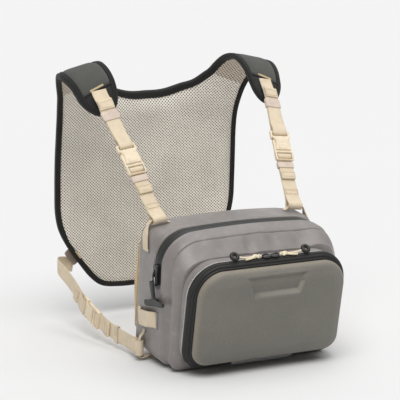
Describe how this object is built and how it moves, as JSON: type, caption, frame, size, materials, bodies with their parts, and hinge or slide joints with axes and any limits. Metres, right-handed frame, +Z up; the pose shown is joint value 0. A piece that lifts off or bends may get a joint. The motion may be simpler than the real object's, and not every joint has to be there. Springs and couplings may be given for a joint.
{
  "type": "fishing chest pack",
  "caption": "Box bag with a zipped top and a moulded front pocket, carried on the chest by a mesh back panel with padded shoulders, buckled webbing and side straps.",
  "frame": {"origin": "midway between the undersides of the two shoulder pads, at the crest of the shoulders", "axes": "+X to the right seen from the front, +Y to the back panel, +Z up; the bag's front faces -Y"},
  "size_m": [0.3146, 0.3774, 0.3605],
  "materials": {
    "spacer_mesh": "open spacer mesh, matt",
    "dark_cloth": "woven cloth, matt",
    "tip_cloth": "coated cloth, satin",
    "edge_tape": "ribbed tape, matt",
    "webbing": "woven webbing, matt",
    "elastic": "elastic, matt",
    "buckle_plastic": "moulded, satin",
    "tab_cloth": "coated cloth, matt",
    "coated_cloth": "coated cloth, satin",
    "tan_mesh": "padded mesh, matt",
    "zip_rubber": "coated zip, satin",
    "pull_rubber": "moulded, matt",
    "link_steel": "polished",
    "shell_cloth": "moulded foam faced with cloth, satin"
  },
  "bodies": {
    "root": {"panel_mesh": "spacer_mesh", "pad_mesh_left": "spacer_mesh", "pad_mesh_right": "spacer_mesh", "panel_cover": "dark_cloth", "pad_cover_left": "dark_cloth", "pad_cover_right": "dark_cloth", "pad_tip_left": "tip_cloth", "pad_tip_right": "tip_cloth", "binding": "edge_tape", "pad_bar_left": "webbing", "pad_bar_right": "webbing", "web_upper_left": "webbing", "web_upper_right": "webbing", "web_lower_left": "webbing", "web_lower_right": "webbing", "side_web_rear_left": "webbing", "side_web_rear_right": "webbing", "side_web_front_left": "webbing", "side_web_front_right": "webbing", "side_keeper_left": "webbing", "side_keeper_right": "webbing", "side_bar_left": "webbing", "side_bar_right": "webbing", "corner_loop_top_left": "webbing", "corner_loop_top_right": "webbing", "corner_loop_bottom_left": "webbing", "corner_loop_bottom_right": "webbing", "pocket_cord_left": "webbing", "pocket_cord_right": "webbing", "side_loop": "webbing", "keeper_upper_left": "elastic", "keeper_upper_right": "elastic", "keeper_lower_left": "elastic", "keeper_lower_right": "elastic", "buckle_female_left": "buckle_plastic", "buckle_female_right": "buckle_plastic", "buckle_male_left": "buckle_plastic", "buckle_male_right": "buckle_plastic", "side_female_left": "buckle_plastic", "side_female_right": "buckle_plastic", "side_male_left": "buckle_plastic", "side_male_right": "buckle_plastic", "side_tab_left": "tab_cloth", "side_tab_right": "tab_cloth", "bag_body": "coated_cloth", "pocket_gusset": "coated_cloth", "pocket_hinge": "coated_cloth", "bag_back_pad": "tan_mesh", "main_zip": "zip_rubber", "main_slider": "zip_rubber", "pocket_zip": "zip_rubber", "pocket_slider_left": "zip_rubber", "pocket_slider_right": "zip_rubber", "main_pull": "pull_rubber", "pocket_ring_left": "pull_rubber", "pocket_ring_right": "pull_rubber", "main_link": "link_steel", "pocket_shell": "shell_cloth"}
  },
  "joints": []
}
